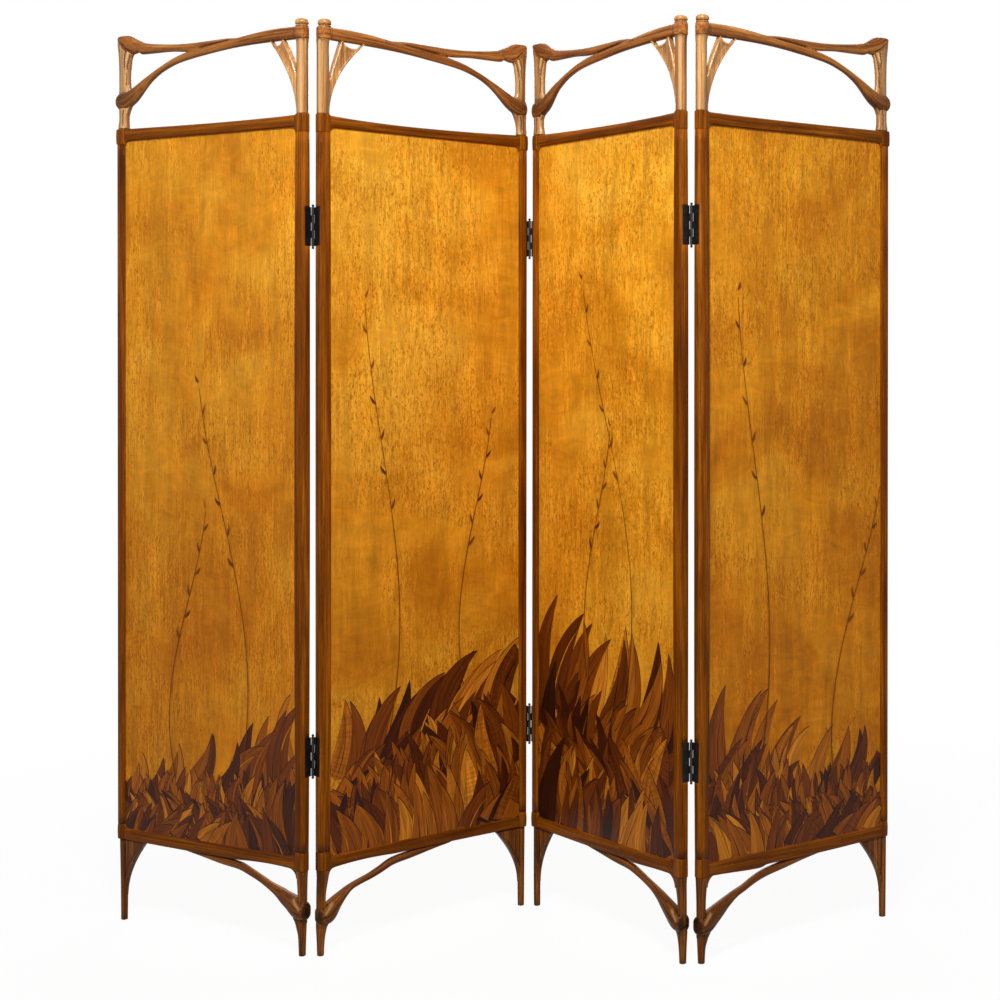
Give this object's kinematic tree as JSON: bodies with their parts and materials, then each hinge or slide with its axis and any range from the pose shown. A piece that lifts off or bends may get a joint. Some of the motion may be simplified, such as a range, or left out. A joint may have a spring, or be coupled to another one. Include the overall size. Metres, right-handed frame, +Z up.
{
  "type": "folding screen",
  "caption": "Standing zigzag room screen of four hinged framed leaves with veneered panels, a carved branching crest and braced legs.",
  "frame": {"origin": "on the floor, under the middle of the screen's outline as it stands folded", "axes": "+Z up, +X along the screen to the viewer's right, +Y away from the viewer, so the show side faces -Y"},
  "size_m": [1.6149, 0.4112, 1.8383],
  "materials": {
    "figured_veneer": "satin",
    "walnut": "satin",
    "light_wood": "satin",
    "brown_wood": "satin",
    "dark_wood": "satin",
    "black_iron": "satin"
  },
  "bodies": {
    "leaf_1": {"leaf_1_panel": "figured_veneer", "leaf_1_top_rail": "walnut", "leaf_1_bottom_rail": "walnut", "leaf_1_inner_stile": "walnut", "leaf_1_outer_stile": "walnut", "leaf_1_inner_post": "light_wood", "leaf_1_finial": "light_wood", "leaf_1_outer_post": "light_wood", "leaf_1_crest_rail": "brown_wood", "leaf_1_inner_leg": "dark_wood", "leaf_1_outer_leg": "dark_wood", "leaf_1_leg_brace": "dark_wood", "leaf_1_hinge_plates": "black_iron", "leaf_1_hinge_screws": "black_iron"},
    "leaf_2": {"leaf_2_panel": "figured_veneer", "leaf_2_top_rail": "walnut", "leaf_2_bottom_rail": "walnut", "leaf_2_inner_stile": "walnut", "leaf_2_outer_stile": "walnut", "leaf_2_inner_post": "light_wood", "leaf_2_finial": "light_wood", "leaf_2_outer_post": "light_wood", "leaf_2_crest_rail": "brown_wood", "leaf_2_inner_leg": "dark_wood", "leaf_2_outer_leg": "dark_wood", "leaf_2_leg_brace": "dark_wood", "leaf_2_hinge_plates": "black_iron", "leaf_2_hinge_screws": "black_iron", "hinge_12_pins": "black_iron", "hinge_23_pins": "black_iron"},
    "leaf_3": {"leaf_3_panel": "figured_veneer", "leaf_3_top_rail": "walnut", "leaf_3_bottom_rail": "walnut", "leaf_3_inner_stile": "walnut", "leaf_3_outer_stile": "walnut", "leaf_3_inner_post": "light_wood", "leaf_3_finial": "light_wood", "leaf_3_outer_post": "light_wood", "leaf_3_crest_rail": "brown_wood", "leaf_3_inner_leg": "dark_wood", "leaf_3_outer_leg": "dark_wood", "leaf_3_leg_brace": "dark_wood", "leaf_3_hinge_plates": "black_iron", "leaf_3_hinge_screws": "black_iron"},
    "leaf_4": {"leaf_4_panel": "figured_veneer", "leaf_4_top_rail": "walnut", "leaf_4_bottom_rail": "walnut", "leaf_4_inner_stile": "walnut", "leaf_4_outer_stile": "walnut", "leaf_4_inner_post": "light_wood", "leaf_4_finial": "light_wood", "leaf_4_outer_post": "light_wood", "leaf_4_crest_rail": "brown_wood", "leaf_4_inner_leg": "dark_wood", "leaf_4_outer_leg": "dark_wood", "leaf_4_leg_brace": "dark_wood", "leaf_4_hinge_plates": "black_iron", "leaf_4_hinge_screws": "black_iron", "hinge_34_pins": "black_iron"}
  },
  "joints": [
    {"name": "leaf_1_fold", "type": "hinge", "parent": "leaf_2", "child": "leaf_1", "pos_m": [-0.34764, -0.14097, 0.905], "axis": [0, 0, 1], "range_deg": [-106.7, 72.3]},
    {"name": "leaf_3_fold", "type": "hinge", "parent": "leaf_2", "child": "leaf_3", "pos_m": [0.04464, 0.18901, 0.905], "axis": [0, 0, 1], "range_deg": [-85.5, 80.5]},
    {"name": "leaf_4_fold", "type": "hinge", "parent": "leaf_3", "child": "leaf_4", "pos_m": [0.39182, -0.18814, 0.905], "axis": [0, 0, 1], "range_deg": [-84.1, 89.9]}
  ]
}
